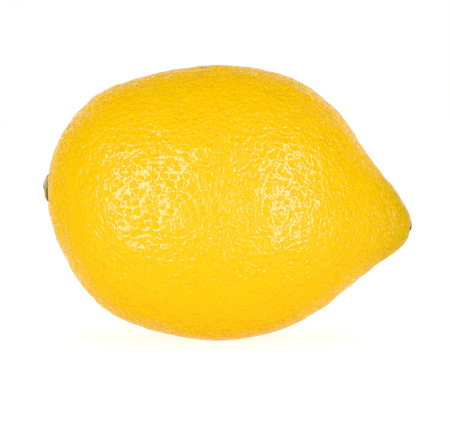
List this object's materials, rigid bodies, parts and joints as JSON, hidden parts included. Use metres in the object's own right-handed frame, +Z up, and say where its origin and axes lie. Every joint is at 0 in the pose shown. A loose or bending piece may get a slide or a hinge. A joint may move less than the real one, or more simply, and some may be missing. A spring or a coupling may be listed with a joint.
{
  "type": "lemon",
  "caption": "Whole ripe lemon lying on its side, with a blunt nipple, a green calyx in a shallow dish and a snipped stem stub.",
  "frame": {"origin": "on the surface that the lemon lies on, under the middle of its length and width", "axes": "+X along the length, from the stem end to the nipple; +Y across it; +Z up"},
  "size_m": [0.081, 0.0624, 0.06],
  "materials": {
    "rind": "waxy glossy rind with dimpled oil glands",
    "calyx": "matt yellow-green, brown at the edges",
    "cut_stem": "dry snipped wood"
  },
  "bodies": {
    "root": {"fruit": "rind", "calyx": "calyx", "stem": "cut_stem"}
  },
  "joints": []
}
